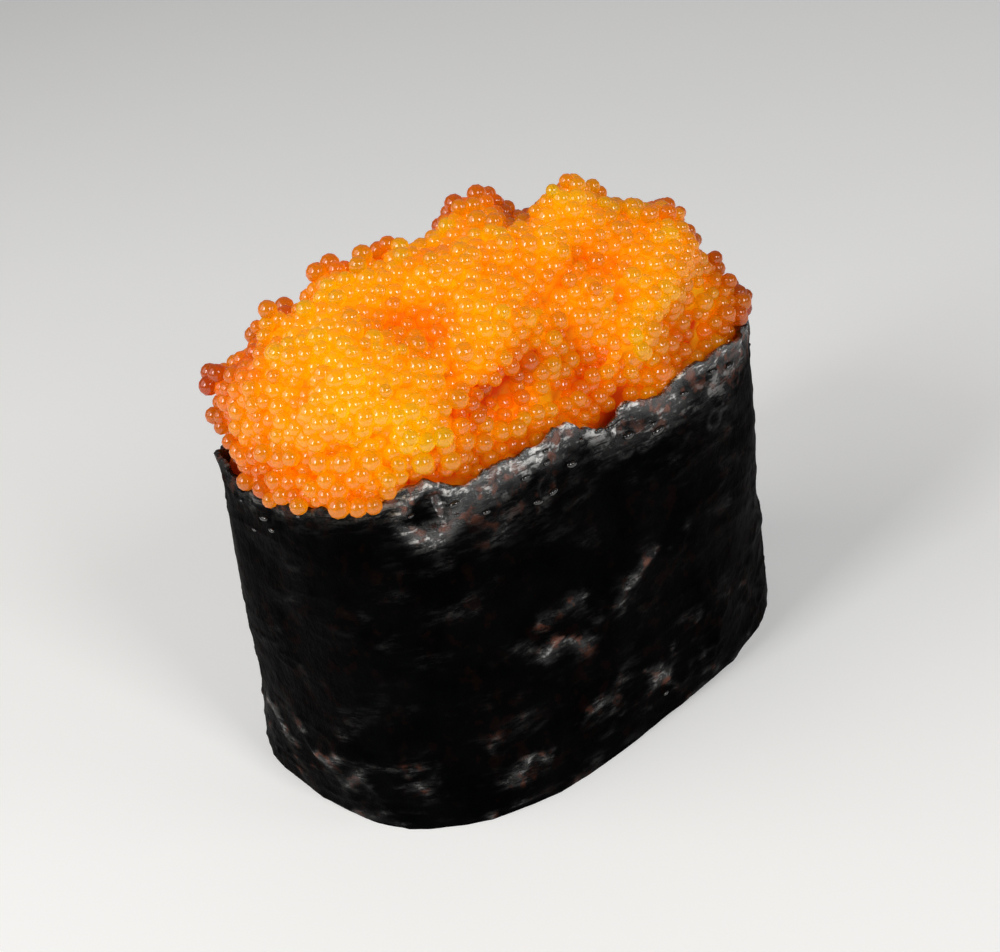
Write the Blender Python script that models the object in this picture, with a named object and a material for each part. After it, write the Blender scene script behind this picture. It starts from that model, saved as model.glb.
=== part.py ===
"""Gunkan sushi: a small block of rice inside a standing band of nori, topped with a heap of roe.

X runs along the length and Z runs up. The origin is in the middle of the underside.
The band, the rice and the roe are one solid each.
"""

import bpy
import numpy as np

MM = 0.001

# Nori band
BAND_HEIGHT = 32.9 * MM
SHEET = 0.5 * MM  # the moist sheet, swollen to this thickness
LAP_LENGTH = 12 * MM  # how far the sheet's outer end lies over its inner end
LAP_RAMP = 4 * MM  # over which the outer layer lifts off
LAP_END = 0.30  # share of the way round, from +X towards +Y, where the outer end stops

# Plan of the band: half length, half width, how square its ends are,
# and how much wider it is at the +X end
TOP_PLAN = (27.0 * MM, 16.4 * MM, 3.1, 0.14)
FOOT_PLAN = (28.1 * MM, 18.9 * MM, 2.7, -0.15)

# Waves of the cut rim: height, how many go round, where the first one starts in radians
RIM_WAVES = ((0.45 * MM, 5, 0.6), (0.35 * MM, 11, 2.1), (0.20 * MM, 19, 4.0))
# Broad bulges of the wall: depth, how many go round, how many half waves go up, start
WALL_WAVES = ((0.35 * MM, 4, 1.6, 1.0), (0.25 * MM, 7, 2.7, 3.4))

# Filling
GAP = 0.3 * MM  # between touching pieces
RICE_HEIGHT = 21.0 * MM
ROE_RISE = 16.0 * MM  # of the heap above the rim, before its hills and hollows
ROE_SQUARE = 2.4  # 2 is an ellipse, more is flatter on top and steeper at the sides
ROE_OVERHANG = 0.06  # how far the heap leans out past the rim, as a share of its plan

# Hills and hollows of the heap: x, y and z of the middle, spread, height (all in mm)
ROE_LUMPS = {
    "left hill": (-19, -2, 46, 7.5, 1.8),
    "left end": (-26, -3, 41, 5, 0.6),
    "left shoulder": (-20, -12, 38, 5, 1.5),
    "left back slope": (-15, 13, 40, 8, -1.2),
    "valley": (-13, -8, 46, 4.5, -2.2),
    "centre ridge": (-6, -9, 47, 5, 1.0),
    "back dip": (1, 10, 46, 6, -4.0),
    "front hollow left": (-7, -15.5, 38, 4, -1.8),
    "front hollow right": (1, -16, 38, 4, -1.8),
    "middle hill": (10, -5, 47, 8, 1.6),
    "back knob": (10, 7, 49, 4, 2.0),
    "back notch": (14, 5, 48, 2.8, -2.5),
    "right knob": (19, 1, 48, 4.5, 1.6),
    "right notch": (22, 0, 45, 2.5, -1.4),
    "right end knob": (24, -5, 43, 4, 1.4),
    "right end slope": (28, 3, 40, 5, -2.2),
    "right front clump": (6, -17, 36, 4, 1.2),
    "right hollow": (14, -17, 36.5, 3, -1.6),
}

# Mesh
COLUMNS = 80  # round the wall
BAND_ROWS = 10
RICE_ROWS = 4
ROE_WALL_ROWS = 3
ROE_ROWS = 20


def clear_scene():
    for thing in list(bpy.data.objects):
        bpy.data.objects.remove(thing, do_unlink=True)


def finish_material(name, colour, roughness):
    material = bpy.data.materials.new(name)
    material.use_nodes = True
    shader = material.node_tree.nodes["Principled BSDF"]
    shader.inputs["Base Color"].default_value = (*colour, 1)
    shader.inputs["Roughness"].default_value = roughness
    shader.inputs["Metallic"].default_value = 0
    material.diffuse_color = (*colour, 1)
    return material


def plan_outline(turns, half_length, half_width, squareness, widening):
    """Points of a rounded oblong, evenly spaced along its edge; turns run from 0 to 1."""
    angle = np.linspace(0, 2 * np.pi, 4001)
    cosine, sine = np.cos(angle), np.sin(angle)
    x = half_length * np.sign(cosine) * np.abs(cosine) ** (2 / squareness)
    y = half_width * np.sign(sine) * np.abs(sine) ** (2 / squareness)
    y *= 1 + widening * x / half_length
    along = np.concatenate([[0], np.cumsum(np.hypot(np.diff(x), np.diff(y)))])
    wanted = np.mod(turns, 1.0) * along[-1]
    return np.stack([np.interp(wanted, along, x), np.interp(wanted, along, y)], axis=-1)


def plain_wall(turns, up):
    """The inner face of the band without its bulges; up runs from 0 at the foot to 1 at the rim."""
    share = np.clip(up, 0, 1)[..., None]
    return plan_outline(turns, *FOOT_PLAN) * (1 - share) + plan_outline(turns, *TOP_PLAN) * share


def outward(turns, up):
    """Level unit vectors that point out of the wall."""
    step = 0.5 / COLUMNS
    along = plain_wall(turns + step, up) - plain_wall(turns - step, up)
    along /= np.linalg.norm(along, axis=-1, keepdims=True)
    return np.stack([along[..., 1], -along[..., 0]], axis=-1)


def wall(turns, up, offset):
    """Points of the band's outer face moved outwards by offset, its broad bulges included."""
    bulge = np.zeros_like(turns)
    for depth, around, upwards, start in WALL_WAVES:
        bulge += depth * np.sin(2 * np.pi * around * turns + start) * np.sin(np.pi * upwards * up)
    return plain_wall(turns, up) + outward(turns, up) * (bulge + offset)[..., None]


def rim_rise(turns):
    """How far the rim stands above or below the band's height."""
    return sum(high * np.sin(2 * np.pi * around * turns + start) for high, around, start in RIM_WAVES)


def lap_lift(turns):
    """0 on the single sheet, 1 where its outer end lies over its inner end."""
    length = np.hypot(*np.diff(plan_outline(np.linspace(0, 1, 400), *TOP_PLAN), axis=0).T).sum()
    back = (LAP_END - turns) * length  # distance back from the outer end
    lift = np.clip((LAP_LENGTH + LAP_RAMP - back) / LAP_RAMP, 0, 1)
    return np.where(back >= 0, lift, 0)


def grid(turns, steps):
    """Every column's share of the way round against every row's share of the way up."""
    return np.meshgrid(turns, steps, indexing="ij")


def raised(plan, height):
    return np.concatenate([plan, height[..., None]], axis=-1)


def ring_rows(points):
    """Rows of rings, lowest first, as one long list of points; each ring runs round the wall."""
    return points.transpose(1, 0, 2).reshape(-1, 3)


def join_rings(rings, columns):
    """Quads between each ring and the next one up, facing out."""
    faces = []
    for lower, upper in zip(rings[:-1], rings[1:]):
        for i in range(columns):
            k = (i + 1) % columns
            faces.append((lower + i, lower + k, upper + k, upper + i))
    return faces


def make_solid(name, points, faces, material):
    mesh = bpy.data.meshes.new(name)
    mesh.from_pydata(points.tolist(), [], faces)
    mesh.materials.append(material)
    mesh.validate()
    mesh.shade_smooth()
    mesh.set_sharp_from_angle(angle=np.radians(40))
    solid = bpy.data.objects.new(name, mesh)
    bpy.context.scene.collection.objects.link(solid)
    return solid


def even_turns():
    return np.linspace(0, 1, COLUMNS, endpoint=False)


def nori_band():
    """A ring wall: up the outer face, over the rim and down the inner face."""
    just_past = 0.001
    turns = np.sort(np.append(even_turns(), [LAP_END, LAP_END + just_past]))
    turns = np.unique(turns)
    column, up = grid(turns, np.linspace(0, 1, BAND_ROWS + 1))
    height = up * (BAND_HEIGHT + rim_rise(column))
    outer = raised(wall(column, up, SHEET * lap_lift(column)), height)
    inner = raised(wall(column, up, np.full_like(up, -SHEET)), height)[:, ::-1]
    points = ring_rows(np.concatenate([outer, inner], axis=1))
    columns = len(turns)
    rings = [row * columns for row in range(2 * (BAND_ROWS + 1))]
    faces = join_rings(rings + rings[:1], columns)
    return make_solid("nori_band", points, faces, finish_material("nori", (0.004, 0.005, 0.005), 0.5))


def rice_core():
    """The hand-pressed block of rice that fills the foot of the band."""
    column, up = grid(even_turns(), np.linspace(0, RICE_HEIGHT / BAND_HEIGHT, RICE_ROWS + 1))
    plan = wall(column, up, np.full_like(up, -SHEET - GAP))
    points = ring_rows(raised(plan, up * BAND_HEIGHT))
    rings = [row * COLUMNS for row in range(RICE_ROWS + 1)]
    faces = join_rings(rings, COLUMNS)
    faces.append(tuple(reversed(range(COLUMNS))))
    faces.append(tuple(range(rings[-1], rings[-1] + COLUMNS)))
    return make_solid("rice_core", points, faces, finish_material("rice", (0.78, 0.76, 0.70), 0.45))


def roe_lumps(points):
    """How far each point of the heap is pushed out by its hills and hollows."""
    push = np.zeros(points.shape[:-1])
    for x, y, z, spread, height in ROE_LUMPS.values():
        away = ((points - np.array([x, y, z]) * MM) ** 2).sum(axis=-1)
        push += height * MM * np.exp(-away / (spread * MM) ** 2)
    return push


def roe_mound(turns, climb):
    """The heap above the rim; climb runs from 0 at the rim to 1 on top."""
    angle = climb * np.pi / 2
    lean = 1 + ROE_OVERHANG * np.sin(np.pi * np.clip(1.6 * climb, 0, 1))
    rim_plan = wall(turns, np.ones_like(turns), np.full_like(turns, -SHEET - GAP))
    plan = rim_plan * (np.cos(angle) ** (2 / ROE_SQUARE) * lean)[..., None]
    rim_wave = rim_rise(turns) * np.clip(1 - 3 * climb, 0, 1) ** 2
    height = BAND_HEIGHT + GAP + rim_wave + ROE_RISE * np.sin(angle) ** (2 / ROE_SQUARE)
    points = raised(plan, height)
    spine = points * (0.7, 0, 0) + (0, 0, BAND_HEIGHT - 2 * MM)
    push_way = points - spine
    push_way /= np.linalg.norm(push_way, axis=-1, keepdims=True)
    fade = np.clip(climb / 0.12, 0, 1)
    return points + push_way * (roe_lumps(points) * fade)[..., None]


def roe_heap():
    """The heap of roe: straight down inside the band to the rice, a lumpy mound above it."""
    bottom = RICE_HEIGHT + GAP
    column, share = grid(even_turns(), np.linspace(0, 1, ROE_WALL_ROWS, endpoint=False))
    top = BAND_HEIGHT + rim_rise(column) + GAP
    height = bottom + share * (top - bottom)
    side = raised(wall(column, height / BAND_HEIGHT, np.full_like(height, -SHEET - GAP)), height)
    column, climb = grid(even_turns(), np.linspace(0, 1, ROE_ROWS, endpoint=False))
    mound = roe_mound(column, climb)
    crown = mound[:, -1].mean(axis=0, keepdims=True)
    points = np.concatenate([ring_rows(np.concatenate([side, mound], axis=1)), crown])
    rings = [row * COLUMNS for row in range(ROE_WALL_ROWS + ROE_ROWS)]
    faces = join_rings(rings, COLUMNS)
    faces.append(tuple(reversed(range(COLUMNS))))
    last, crown_index = rings[-1], len(points) - 1
    faces += [(last + i, last + (i + 1) % COLUMNS, crown_index) for i in range(COLUMNS)]
    return make_solid("roe_heap", points, faces, finish_material("roe", (0.86, 0.27, 0.02), 0.25))


clear_scene()
nori_band()
rice_core()
roe_heap()
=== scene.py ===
"""Gunkan sushi: a nori band stood round a block of rice, with a heap of flying-fish roe on top."""

import math

import bmesh
import bpy
import numpy as np
from mathutils import Matrix, Quaternion, Vector, noise
from mathutils.bvhtree import BVHTree


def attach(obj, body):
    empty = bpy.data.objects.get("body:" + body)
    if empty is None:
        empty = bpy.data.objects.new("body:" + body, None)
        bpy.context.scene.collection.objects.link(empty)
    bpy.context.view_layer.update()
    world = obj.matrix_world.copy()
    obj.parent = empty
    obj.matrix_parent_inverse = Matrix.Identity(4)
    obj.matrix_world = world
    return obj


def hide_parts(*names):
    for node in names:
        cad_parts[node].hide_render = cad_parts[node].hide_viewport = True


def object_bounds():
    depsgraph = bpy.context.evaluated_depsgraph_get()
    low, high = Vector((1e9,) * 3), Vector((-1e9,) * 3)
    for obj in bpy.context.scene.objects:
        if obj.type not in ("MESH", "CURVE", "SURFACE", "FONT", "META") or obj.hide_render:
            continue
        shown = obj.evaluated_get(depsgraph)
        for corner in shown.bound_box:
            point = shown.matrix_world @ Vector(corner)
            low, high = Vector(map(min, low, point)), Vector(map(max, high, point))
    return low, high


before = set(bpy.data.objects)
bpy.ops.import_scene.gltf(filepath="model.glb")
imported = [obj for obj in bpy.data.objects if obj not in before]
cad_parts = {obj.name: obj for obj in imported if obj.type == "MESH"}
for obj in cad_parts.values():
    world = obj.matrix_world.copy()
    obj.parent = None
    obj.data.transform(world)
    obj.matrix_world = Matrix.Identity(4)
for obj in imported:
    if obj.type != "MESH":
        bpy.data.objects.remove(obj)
cad_low, cad_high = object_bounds()

# ---------------------------------------------------------------------------
# Camera, table and light
# The sushi stands on a pale table. Two soft lamps above the viewer and a large
# one at its left end light it, with faint ones at its right and behind it. The
# camera looks down at its left end, tilted a little.
# ---------------------------------------------------------------------------

MM = 0.001
VIEW_TURN = math.radians(35.57)  # how far the piece is turned from lying straight across the picture
VIEW_DOWN = math.radians(27.03)
VIEW_TILT = math.radians(10.45)
VIEW_DISTANCE = 217.8 * MM
LENS, FILM = 75, 36
AIM = Vector((5.4, 7.2, 17.5)) * MM

TABLE_SIZE = 1.6
TABLE_WHITE, TABLE_SHADE = (0.88, 0.88, 0.87, 1), (0.86, 0.86, 0.855, 1)
TABLE_GLOW = 0.22  # keeps the table pale away from the lamps
LAMP_REACH = 0.42  # from the piece to each lamp
LAMPS_AIM = Vector((0, 0, 30)) * MM
ROOM_LIGHT = 0.085
# Softboxes: name, turn in degrees from the camera's side (left is positive), degrees up, width,
# height, watts and colour
LAMPS = (
    ("lamp_left", 48, 33, 0.11, 0.19, 0.66, (1, 0.99, 0.97)),
    ("lamp_right", -30, 32, 0.10, 0.18, 0.58, (1, 0.99, 0.97)),
    ("lamp_left_end", 80, 34, 0.42, 0.36, 0.74, (1, 0.98, 0.95)),
    ("lamp_right_side", -68, 20, 0.20, 0.12, 0.20, (0.97, 0.98, 1)),
    ("lamp_behind", -165, 40, 0.50, 0.40, 0.10, (0.95, 0.97, 1)),
)


def view_direction(turn, down):
    """The level direction along +Y, turned to face the piece and tipped down."""
    level = math.cos(down)
    return Vector((math.sin(turn) * level, math.cos(turn) * level, -math.sin(down)))


looking = view_direction(VIEW_TURN, VIEW_DOWN)
camera = bpy.data.objects.new("camera", bpy.data.cameras.new("camera"))
camera.data.lens = LENS
camera.data.sensor_width = FILM
camera.data.clip_start = 0.01
camera.location = AIM - looking * VIEW_DISTANCE
camera.rotation_mode = "QUATERNION"
camera.rotation_quaternion = (-looking).to_track_quat("Z", "Y") @ Quaternion((0, 0, 1), -VIEW_TILT)
bpy.context.scene.collection.objects.link(camera)
bpy.context.scene.camera = camera


def adder(tree):
    """A short way to add a node to a tree, set its inputs or link them, and set its settings."""
    def add(kind, inputs=None, **settings):
        node = tree.nodes.new(kind)
        for name, value in settings.items():
            setattr(node, name, value)
        for name, value in (inputs or {}).items():
            if isinstance(value, bpy.types.NodeSocket):
                tree.links.new(value, node.inputs[name])
            else:
                node.inputs[name].default_value = value
        return node

    return add


def node_maker(material):
    """Turns on a material's nodes; gives its shader and short ways to add nodes and link to it."""
    material.use_nodes = True
    tree = material.node_tree
    shader = tree.nodes["Principled BSDF"]

    def feed(name, socket):
        tree.links.new(socket, shader.inputs[name])

    return shader, adder(tree), feed


def clouds(add, place, scale, detail, roughness=0.5):
    """Soft noise from 0 to 1."""
    noisy = add("ShaderNodeTexNoise", {"Vector": place, "Scale": scale, "Detail": detail,
                                       "Roughness": roughness})
    return noisy.outputs["Fac"]


def blend(add, share, first, second):
    """One colour going over to another as the share rises."""
    return add("ShaderNodeMixRGB", {"Fac": share, "Color1": first, "Color2": second}).outputs["Color"]


def table_top():
    half = TABLE_SIZE / 2
    mesh = bpy.data.meshes.new("table_top")
    corners = [(-half, -half, 0), (half, -half, 0), (half, half, 0), (-half, half, 0)]
    mesh.from_pydata(corners, [], [(0, 1, 2, 3)])
    mesh.transform(Matrix.Translation((0, 0, cad_low.z - 0.02 * MM)))
    material = bpy.data.materials.new("pale_table")
    shader, add, feed = node_maker(material)
    place = add("ShaderNodeTexCoord").outputs["Object"]
    feed("Base Color", blend(add, clouds(add, place, 40.0, 3.0), TABLE_WHITE, TABLE_SHADE))
    shader.inputs["Roughness"].default_value = 0.6
    shader.inputs["Specular IOR Level"].default_value = 0.2
    shader.inputs["Emission Color"].default_value = (1, 1, 1, 1)
    shader.inputs["Emission Strength"].default_value = TABLE_GLOW
    mesh.materials.append(material)
    table = bpy.data.objects.new("table_top", mesh)
    bpy.context.scene.collection.objects.link(table)


def soft_lamp(name, turn, up, width, height, watts, colour):
    """A softbox that faces the piece from its own side."""
    lamp = bpy.data.lights.new(name, "AREA")
    lamp.shape = "RECTANGLE"
    lamp.size, lamp.size_y = width, height
    lamp.energy = watts
    lamp.color = colour
    holder = bpy.data.objects.new(name, lamp)
    direction = view_direction(VIEW_TURN + math.radians(turn), math.radians(up))
    holder.location = LAMPS_AIM - direction * LAMP_REACH
    holder.rotation_mode = "QUATERNION"
    holder.rotation_quaternion = (-direction).to_track_quat("Z", "Y")
    bpy.context.scene.collection.objects.link(holder)


table_top()
for lamp_values in LAMPS:
    soft_lamp(*lamp_values)

world = bpy.data.worlds.new("studio")
world.use_nodes = True
world.node_tree.nodes["Background"].inputs["Color"].default_value = (1, 1, 1, 1)
world.node_tree.nodes["Background"].inputs["Strength"].default_value = ROOM_LIGHT
bpy.context.scene.world = world
bpy.context.scene.view_settings.view_transform = "Standard"

# ---------------------------------------------------------------------------
# Nori band
# One strip of roasted seaweed, half a millimetre thick once moist, stood round
# the rice and lapped over its own end at the back. The rice and the roe have
# wetted it: the wall is creased, and the cut rim is puckered and shiny. Where it
# is wet, a silvery sheen is painted into its colour.
# ---------------------------------------------------------------------------

BAND_HEIGHT = 32.9 * MM
SHEET = 0.5 * MM  # thickness
LAP_LENGTH = 12 * MM
LAP_RAMP = 4 * MM
LAP_END = 0.30
# half length, half width, squareness of the ends, widening towards +X
TOP_PLAN = (27.0 * MM, 16.4 * MM, 3.1, 0.14)
FOOT_PLAN = (28.1 * MM, 18.9 * MM, 2.7, -0.15)
# Height, waves round the band and where they start
RIM_WAVES = ((0.45 * MM, 5, 0.6), (0.35 * MM, 11, 2.1), (0.20 * MM, 19, 4.0))
# Depth, waves round the band, half waves up it and where they start
WALL_WAVES = ((0.35 * MM, 4, 1.6, 1.0), (0.25 * MM, 7, 2.7, 3.4))

# Places where the cut edge stands higher or has been worn lower: turn, half span in turns, rise
RIM_BITES = ((0.645, 0.014, -0.9 * MM), (0.700, 0.020, 0.9 * MM), (0.745, 0.010, -0.5 * MM),
             (0.803, 0.024, -1.0 * MM), (0.856, 0.013, 1.0 * MM), (0.31, 0.020, -0.6 * MM),
             (0.16, 0.015, 0.7 * MM))
RAGGED_EDGE, FRAYED_EDGE = 0.45 * MM, 0.30 * MM  # how far the cut edge wanders, coarse and fine

BAND_COLUMNS = 690
BAND_ROWS = 118
INNER_ROWS = 14
RIM_ROWS = 3
LAP_STEP = 0.0004  # turns over which the lap's end drops to the sheet below
WET_DEPTH = 4.5 * MM  # how far down from the rim the sheet is puckered
# How far the sheet stands out
SWELL, WALL_CREASE, FOOT_CREASE = 0.16 * MM, 0.11 * MM, 0.18 * MM
CRUMPLE, PUCKER, FINE_PUCKER, RING_LIFT = 0.07 * MM, 0.34 * MM, 0.13 * MM, 0.06 * MM
# How wet it is away from the rim, which also sets the sheen painted there
WET_FOLD, WET_MOTTLING, WET_FOOT, WET_DIMPLE, WET_RING = 0.62, 0.13, 0.40, 0.9, 0.30

# How wet the rim is, which also sets its painted silvery sheen: turn, how far down the wet reaches, how wet
# from 0 to 1
SOAKED = ((0.00, 2.0 * MM, 0.7), (0.10, 2.6 * MM, 0.9), (0.22, 1.8 * MM, 0.7), (0.35, 2.4 * MM, 0.8),
          (0.46, 1.4 * MM, 0.38), (0.58, 1.2 * MM, 0.36), (0.63, 2.2 * MM, 0.9), (0.655, 3.2 * MM, 1.0),
          (0.71, 2.8 * MM, 1.0), (0.745, 2.2 * MM, 0.95), (0.80, 3.2 * MM, 1.0), (0.87, 3.0 * MM, 1.0),
          (0.92, 2.0 * MM, 0.7), (1.00, 2.0 * MM, 0.7))
# Folds pressed into the wall: turn at the middle, half span in turns, height, lift, half width
FOLDS = (
    (0.735, 0.075, 16.2 * MM, 0.55 * MM, 0.9 * MM),
    (0.700, 0.050, 13.6 * MM, 0.30 * MM, 1.2 * MM),
    (0.500, 0.060, 6.4 * MM, 0.40 * MM, 1.2 * MM),
    (0.560, 0.040, 4.2 * MM, 0.35 * MM, 1.0 * MM),
    (0.660, 0.035, 4.4 * MM, 0.40 * MM, 1.1 * MM),
    (0.790, 0.045, 3.4 * MM, 0.30 * MM, 1.3 * MM),
    (0.100, 0.080, 14.5 * MM, 0.45 * MM, 1.1 * MM),
    (0.230, 0.060, 8.5 * MM, 0.40 * MM, 1.2 * MM),
    (0.380, 0.050, 18.0 * MM, 0.35 * MM, 1.0 * MM),
    (0.930, 0.060, 9.5 * MM, 0.40 * MM, 1.2 * MM),
)
# Places where the wet rim curls outwards: turn, half span in turns, how far
RIM_CURLS = ((0.700, 0.010, 0.7 * MM), (0.755, 0.012, 0.9 * MM), (0.866, 0.014, 0.9 * MM),
             (0.430, 0.016, 0.6 * MM), (0.130, 0.014, 0.8 * MM), (0.350, 0.012, 0.6 * MM))
# Rings that eggs have printed in the wet sheet: turn, height
RINGS = ((0.841, 26.7 * MM), (0.765, 28.6 * MM), (0.700, 28.9 * MM), (0.870, 29.2 * MM))
RING_RADIUS, RING_WIDTH = 0.95 * MM, 0.28 * MM
# Dimples with radial puckers: turn, height, radius, depth
DIMPLES = ((0.622, 30.9 * MM, 1.5 * MM, 0.8 * MM), (0.205, 29.5 * MM, 1.4 * MM, 0.6 * MM))


def plan_outline(turns, half_length, half_width, squareness, widening):
    """Points of a rounded oblong, evenly spaced along its edge; turns run from 0 to 1."""
    angle = np.linspace(0, 2 * np.pi, 8001)
    cosine, sine = np.cos(angle), np.sin(angle)
    x = half_length * np.sign(cosine) * np.abs(cosine) ** (2 / squareness)
    y = half_width * np.sign(sine) * np.abs(sine) ** (2 / squareness)
    y *= 1 + widening * x / half_length
    along = np.concatenate([[0], np.cumsum(np.hypot(np.diff(x), np.diff(y)))])
    wanted = np.mod(turns, 1.0) * along[-1]
    return np.stack([np.interp(wanted, along, x), np.interp(wanted, along, y)], axis=-1)


def plain_wall(turns, up):
    """The outer face of the sheet before it bulges; up runs from 0 at the foot to 1 at the rim."""
    share = np.clip(up, 0, 1)[..., None]
    return plan_outline(turns, *FOOT_PLAN) * (1 - share) + plan_outline(turns, *TOP_PLAN) * share


def outward(turns, up):
    step = 0.006
    along = plain_wall(turns + step, up) - plain_wall(turns - step, up)
    along /= np.linalg.norm(along, axis=-1, keepdims=True)
    return np.stack([along[..., 1], -along[..., 0]], axis=-1)


def turn_gap(turns, middle):
    """Signed distance round the band, in turns, the short way."""
    return np.mod(turns - middle + 0.5, 1.0) - 0.5


def rim_height(turns):
    waves = sum(high * np.sin(2 * np.pi * around * turns + start) for high, around, start in RIM_WAVES)
    for middle, span, rise in RIM_BITES:
        waves = waves + rise * np.exp(-(turn_gap(turns, middle) / span) ** 2)
    return BAND_HEIGHT + waves


def wall_point(turns, up, offset, height):
    """Points of the band: offset is measured outwards from the sheet's outer face."""
    bulge = np.zeros_like(turns)
    for depth, around, upwards, start in WALL_WAVES:
        bulge += depth * np.sin(2 * np.pi * around * turns + start) * np.sin(np.pi * upwards * up)
    plan = plain_wall(turns, up) + outward(turns, up) * (bulge + offset)[..., None]
    return np.concatenate([plan, height[..., None]], axis=-1)


def rough_field(points, stretch, start, octaves=3):
    """Smooth noise from -1 to 1 at every point; stretch is the size of its blobs along x, y and z."""
    scaled = points.reshape(-1, 3) / np.array(stretch) + start
    values = [noise.fractal(Vector(p), 0.9, 2.1, octaves) for p in scaled]
    return np.array(values).reshape(points.shape[:-1])


def smooth_step(value, low, high):
    share = np.clip((value - low) / (high - low), 0, 1)
    return share * share * (3 - 2 * share)


def ridge(field, sharpness):
    return np.clip(1 - np.abs(field) * sharpness, 0, 1) ** 2


def lap_lift(turns, length):
    back = (LAP_END - turns) * length
    lift = np.clip((LAP_LENGTH + LAP_RAMP - back) / LAP_RAMP, 0, 1)
    return np.where(back >= 0, lift, 0)


def band_relief(turns, height, points, length):
    """How far the sheet stands out at each point, and how wet it is there; the wetness sets its gloss and
    its painted sheen.
    """
    below_rim = rim_height(turns) - height
    near_rim = 1 - smooth_step(below_rim, 0.6 * MM, WET_DEPTH)
    relief = SWELL * rough_field(points, (9 * MM, 9 * MM, 5 * MM), 3.1)
    creases = ridge(rough_field(points, (13 * MM, 13 * MM, 3.4 * MM), 11.7, 2), 5.0)
    relief += WALL_CREASE * creases * (1 - near_rim)
    foot_creases = ridge(rough_field(points, (11 * MM, 11 * MM, 2.4 * MM), 27.3, 2), 3.5)
    near_foot = 1 - smooth_step(height, 5 * MM, 12 * MM)
    relief += FOOT_CREASE * foot_creases * near_foot
    relief += CRUMPLE * rough_field(points, (2.3 * MM,) * 3, 41.9)
    fold_mark = np.zeros_like(turns)
    for middle, span, level, lift, width in FOLDS:
        gap = turn_gap(turns, middle)
        wander = 0.9 * MM * np.sin(9 * gap / span + 40 * middle) + 3.0 * MM * (gap / span) ** 2 * 0.5
        across = (height - level - wander) / width
        along = np.exp(-(gap / span) ** 4)
        fold = along * np.exp(-np.abs(across) ** 1.3)
        relief += lift * fold
        fold_mark = np.maximum(fold_mark, fold)
    pucker = rough_field(points, (1.5 * MM, 1.5 * MM, 3.6 * MM), 57.7)
    fine = rough_field(points, (0.8 * MM, 0.8 * MM, 1.8 * MM), 91.3, 2)
    relief += (PUCKER * pucker + FINE_PUCKER * fine) * near_rim
    for middle, span, reach in RIM_CURLS:
        curl = np.exp(-(turn_gap(turns, middle) / span) ** 2)
        relief += reach * curl * (1 - smooth_step(below_rim, 0, 2.2 * MM)) ** 2
    dimple_mark = np.zeros_like(turns)
    for middle, level, radius, depth in DIMPLES:
        dx = turn_gap(turns, middle) * length / radius
        dz = (height - level) / radius
        away = np.hypot(dx, dz)
        spokes = np.sin(11 * np.arctan2(dz, dx)) * np.exp(-((away - 1.5) / 0.6) ** 2)
        relief += depth * (-np.exp(-away ** 4) + 0.35 * np.exp(-((away - 1.35) / 0.4) ** 2) + 0.16 * spokes)
        dimple_mark = np.maximum(dimple_mark, np.exp(-((away - 1.6) / 0.7) ** 2))
    ring_mark = np.zeros_like(turns)
    for middle, level in RINGS:
        away = np.hypot(turn_gap(turns, middle) * length, height - level)
        ring_mark = np.maximum(ring_mark, np.exp(-((away - RING_RADIUS) / RING_WIDTH) ** 2))
    relief += RING_LIFT * ring_mark
    patchy = 0.5 + 0.5 * rough_field(points, (4.5 * MM, 4.5 * MM, 2.5 * MM), 71.1)
    splashes = 0.5 + 0.5 * rough_field(points, (4 * MM, 4 * MM, 2.6 * MM), 133.3, 3)
    places, reaches, shares = np.array(SOAKED).T
    reach = np.interp(turns, places, reaches) * (0.35 + 1.3 * splashes)
    wet = np.interp(turns, places, shares) * np.exp(-np.maximum(below_rim / reach, 0) ** 1.6)
    for mark in (WET_FOLD * fold_mark * smooth_step(patchy, 0.4, 0.75),
                 WET_MOTTLING * smooth_step(patchy, 0.5, 0.95),
                 WET_FOOT * foot_creases * near_foot * smooth_step(patchy, 0.35, 0.75),
                 WET_DIMPLE * dimple_mark * smooth_step(patchy, 0.2, 0.6),
                 WET_RING * ring_mark):
        wet = np.maximum(wet, mark)
    return relief, np.clip(wet, 0, 1)


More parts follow.
